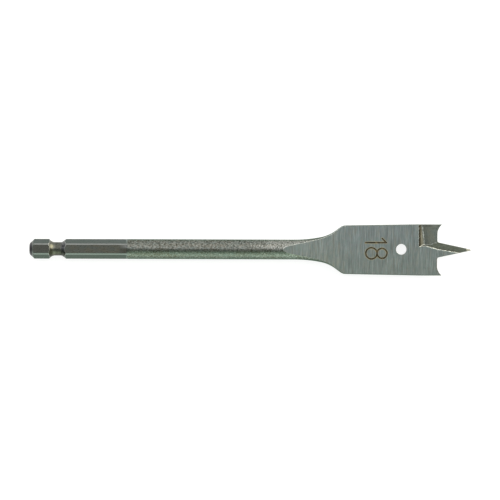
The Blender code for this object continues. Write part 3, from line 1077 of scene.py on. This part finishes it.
def make_groove_steel():
    """The turned groove: bright at its rear, dull on its floor and bluish towards its front, with
    painted shade at both ends on the -Y side and a painted highlight across the middle of its
    front.
    """
    shade, tint = (0.02, 0.024, 0.014), (0.9, 0.96, 0.84)
    floor_x, front_x, low_y = (8.6, 9.5), (10.6, 11.8), (-1.6, -0.3)
    shade_rear_x, shade_front_x = (7.7, 8.5, 0.72, 0.0), (10.4, 11.3, 0.0, 0.68)
    front_highlight_x, front_highlight_y, front_highlight_gain = (11.2, 11.7), (0.4, 1.0), 1.8
    steel = Steel("groove_steel")
    rear = steel.grained((0.098, 0.096, 0.077), (0.155, 0.155, 0.132))
    floor = steel.grained((0.066, 0.066, 0.054), (0.108, 0.109, 0.096))
    front = steel.grained((0.105, 0.107, 0.106), (0.16, 0.166, 0.168))
    colour = steel.varied(steel.x, (rear, floor), floor_x)
    colour = steel.varied(steel.x, (colour, front), front_x)
    ends = steel.span(steel.x, *shade_rear_x)
    ends = steel.math("ADD", ends, steel.span(steel.x, *shade_front_x))
    colour = steel.mix(steel.both(steel.fall(steel.y, *low_y), ends), colour, shade)
    # Painted highlight across the middle of the front
    front_highlight = steel.both(steel.fall(steel.aside, *front_highlight_y), steel.span(steel.x, *front_highlight_x))
    colour = steel.mix(front_highlight, colour, steel.times(colour, front_highlight_gain))
    return steel.finished(steel.painted_green_side(colour, tint))


def make_pocket_steel():
    """The rake pockets: painted shade on the steep start of the wall, a bright hollow wall with a
    painted paler strip before its foot, and a floor with painted shade past the crease, along its
    outer rim and at the lip.
    """
    greys = ((0.225, 0.234, 0.198), (0.212, 0.236, 0.214))
    bares = ((0.115, 0.11, 0.088), (0.225, 0.217, 0.18))
    dull, pale, painted_shade = (0.76, 0.76, 0.74), (0.31, 0.3, 0.245), (0.034, 0.031, 0.022)
    wall_shade_x, pale_y, rim_y = (LAND_X + 0.5, LAND_X + 0.95), (5.0, 6.8), (7.95, 8.3)
    rim_x, lip_x = (140.4, 142.2, 0.4, 0.0), (142.7, 143.0, 0.0, 0.15)
    crease, last = crease_place(0.0).x, crease_place(HALF_WIDTH).x
    pale_x, bare_end_x = (crease - 1.1, crease - 0.4, 0.0, 0.5), (crease - 0.15, crease + 0.1)
    valley_shade_from_x, valley_shade_to_x = (crease, crease + 0.1), (crease + 0.6, crease + 2.6, 0.3, 0.0)
    steel = Steel("pocket_steel")
    along, aside = steel.x, steel.aside
    bow = steel.math("POWER", steel.math("DIVIDE", aside, HALF_WIDTH), POCKET_BOW)
    unbowed = steel.math("MULTIPLY_ADD", bow, crease - last, along)
    grey = steel.varied(steel.noise((0.8, 0.5, 0.5)), greys)
    floor = steel.grained(steel.times(grey, dull), grey)
    bare = steel.varied(steel.noise((4.0, 0.25, 0.25), STREAKY), bares)
    # Painted light: a paler strip on the wall just before its foot, on the inner part of the pocket
    paler = steel.both(steel.span(unbowed, *pale_x), steel.fall(aside, *pale_y))
    bare = steel.mix(paler, bare, pale)
    colour = steel.varied(unbowed, (bare, floor), bare_end_x)
    # Painted shade on the floor just past the crease, fading towards the lip
    foot = steel.both(steel.span(unbowed, *valley_shade_from_x), steel.span(unbowed, *valley_shade_to_x))
    # Painted shade on the steep start of the wall
    dark = steel.math("MAXIMUM", steel.fall(along, *wall_shade_x), foot)
    # Painted shade along the outer rim and at the lip
    rim = steel.both(steel.span(aside, *rim_y), steel.span(along, *rim_x))
    rim = steel.math("MAXIMUM", rim, steel.span(along, *lip_x))
    return steel.finished(steel.mix(steel.math("MAXIMUM", dark, rim), colour, painted_shade))


def make_relief_steel():
    """The ground front: lips, spurs and the sides of the point, dull at a glancing angle, with a
    painted highlight at the very tip.
    """
    tip_highlight, tip_x, rim_tint = (0.4, 0.4, 0.375), (152.6, 153.4), (0.35, 0.36, 0.32)
    steel = Steel("relief_steel")
    worn = steel.grained((0.1, 0.096, 0.09), (0.15, 0.15, 0.14))
    # Painted highlight on the last two millimetres of the point
    return steel.finished(steel.varied(steel.x, (worn, tip_highlight), tip_x), rim_tint)


def make_edge_steel():
    """The broken edges: bright, but with painted shade on the -Y side of the blade and, less, along
    its +Y rim.
    """
    low_y, high_y = (-4.0, -2.5), (7.5, 8.5, 0.0, 0.55)
    steel = Steel("edge_steel")
    bright = steel.grained((0.29, 0.3, 0.28), (0.58, 0.6, 0.57))
    dull = steel.grained((0.055, 0.06, 0.048), (0.09, 0.095, 0.08))
    # Painted shade on the -Y side and, less, at the +Y rim
    low, high = steel.fall(steel.y, *low_y), steel.span(steel.y, *high_y)
    return steel.finished(steel.mix(steel.math("MAXIMUM", low, high), bright, dull))


def make_milled_steel():
    """The hexagon's flats: brown on the middle two, grey on the others, with painted shade and
    light where they run out and a painted highlight on their ramps.
    """
    browns = ((0.11, 0.105, 0.084), (0.1, 0.105, 0.093))
    greys = ((0.066, 0.084, 0.074), (0.073, 0.089, 0.082))
    head_brown, tint = (0.088, 0.088, 0.077), (0.86, 1.0, 0.86)
    painted_shade, bright = (0.06, 0.05, 0.032), (0.235, 0.235, 0.225)
    runout_shade_x, runout_shade_y = (30.5, 33.5), (-0.3, 0.7, 0.5, 0.0)
    lit_x, lit_y = (31.0, HEX_LENGTH), (0.0, 0.9, 0.0, 0.9)
    sides_y, ramp_x, worn_gain, ramp_highlight_gain = (1.45, 1.95), (33.85, 34.1), 1.2, 2.2
    steel = Steel("milled_steel")
    clouds = steel.noise((0.25, 0.6, 0.6))
    sideways = steel.span(steel.aside, *sides_y)
    middle = steel.fall(sideways, 0.0, 1.0)
    head = steel.span(steel.x, GROOVE_START, GROOVE_END)
    brown = steel.mix(head, head_brown, steel.varied(clouds, browns))
    film = steel.mix(sideways, brown, steel.varied(clouds, greys))
    colour = steel.varied(steel.grain, (film, steel.times(film, worn_gain)), (0.35, 0.7))
    # Painted shade on the -Y half of the run-out
    runout_shade = steel.both(steel.span(steel.x, *runout_shade_x), steel.span(steel.y, *runout_shade_y))
    colour = steel.mix(steel.both(runout_shade, middle), colour, painted_shade)
    # Painted light on the +Y half of the run-out
    lit = steel.both(steel.span(steel.x, *lit_x), middle)
    colour = steel.mix(steel.both(lit, steel.span(steel.y, *lit_y)), colour, bright)
    # Painted highlight on the ramps
    colour = steel.varied(steel.x, (colour, steel.times(colour, ramp_highlight_gain)), ramp_x)
    return steel.finished(steel.painted_green_side(colour, tint, FLAT_GREEN_SIDE_START))


def make_materials():
    """The materials in the order of the kinds of surface."""
    return [
        make_turned_steel(),
        make_groove_steel(),
        make_bar_steel(),
        make_milled_steel(),
        make_ground_steel(),
        make_pocket_steel(),
        plain_steel("point_steel", (0.195, 0.191, 0.16), (0.258, 0.262, 0.228)),
        make_relief_steel(),
        plain_steel("hole_steel", (0.11, 0.11, 0.1), (0.16, 0.16, 0.15)),
        make_mark_steel(),
        make_edge_steel(),
        plain_steel("burr_steel", (0.4, 0.41, 0.38), (0.85, 0.87, 0.82)),
    ]


def make_world():
    """A soft studio: light from both sides and a dark band almost straight above."""
    world = bpy.data.worlds.new("studio")
    world.use_nodes = True
    bpy.context.scene.world = world
    graph = Graph(world.node_tree)
    direction = graph.node("ShaderNodeTexCoord").outputs["Generated"]
    along, across, up = graph.parts(direction)
    turn = graph.math("MULTIPLY_ADD", graph.math("ARCTAN2", across, up), 0.5 / math.pi, 0.5)
    lean = graph.math("MULTIPLY_ADD", along, 0.5, 0.5)
    around, lengthways = (
        graph.ramp(
            share,
            [((at + end) / 2 / end, [c / STUDIO_LEVEL for c in colour]) for at, colour in table],
        )
        for share, table, end in ((turn, STUDIO_ACROSS, 180), (lean, STUDIO_ALONG, 1))
    )
    soft = graph.times(around, lengthways)
    low = graph.fall(graph.math("ABSOLUTE", across), *LOW_FRONT_ACROSS)
    low = graph.both(graph.span(along, *LOW_FRONT_ALONG), low)
    low = graph.span(low, 0.0, 1.0, 1.0, LOW_FRONT)
    corner = graph.span(graph.math("ABSOLUTE", along), *DARK_CORNERS_ALONG)
    corner = graph.both(graph.fall(across, *DARK_CORNERS_ACROSS), corner)
    corner = graph.span(corner, 0.0, 1.0, 1.0, DARK_CORNERS)
    dimmed = graph.vector("SCALE", soft, graph.both(low, corner))
    facing = graph.vector("DOT_PRODUCT", direction, tuple(Vector(LAMP_FROM).normalized()))
    colour = tuple(c / STUDIO_LEVEL**2 for c in LAMP_COLOUR)
    lamp = graph.vector("SCALE", colour, graph.span(facing, *LAMP_GLOW))
    light = world.node_tree.nodes["Background"]
    graph.feed(light.inputs["Color"], graph.vector("ADD", dimmed, lamp))
    light.inputs["Strength"].default_value = STUDIO_LEVEL**2


def make_floor():
    """A white floor, lifted to plain white where the camera or a reflection sees it."""
    bm = bmesh.new()
    bmesh.ops.create_grid(bm, x_segments=1, y_segments=1, size=FLOOR_SIZE / 2)
    floor = add_object("floor", mesh_from(bm, "floor"))
    white = Surface("floor_white")
    white.inputs["Base Color"].default_value = FLOOR_COLOUR
    white.inputs["Roughness"].default_value = FLOOR_ROUGHNESS
    white.inputs["Specular IOR Level"].default_value = 0.0
    rays = white.node("ShaderNodeLightPath").outputs
    seen = white.math("MAXIMUM", rays["Is Camera Ray"], rays["Is Glossy Ray"])
    seen = white.math("MAXIMUM", seen, rays["Is Transmission Ray"])
    white.inputs["Emission Color"].default_value = (*WHITE, 1.0)
    white.feed(white.inputs["Emission Strength"], white.both(seen, FLOOR_GLOW))
    floor.data.materials.append(white.material)


def make_camera():
    """The photograph's view, from straight above."""
    camera = bpy.data.cameras.new("camera")
    camera.lens = CAMERA_LENS
    camera.sensor_width = CAMERA_SENSOR
    eye = add_object("camera", camera)
    distance = VIEW_WIDTH * CAMERA_LENS / CAMERA_SENSOR
    eye.location = (*VIEW_MIDDLE, BAR_RADIUS * MM + distance)
    eye.rotation_euler = (0.0, 0.0, VIEW_TURN)
    bpy.context.scene.camera = eye


bit = make_bit(make_materials())
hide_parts("spade_bit")
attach(bit, "root")
make_world()
make_floor()
make_camera()
bpy.context.scene.view_settings.view_transform = "Standard"
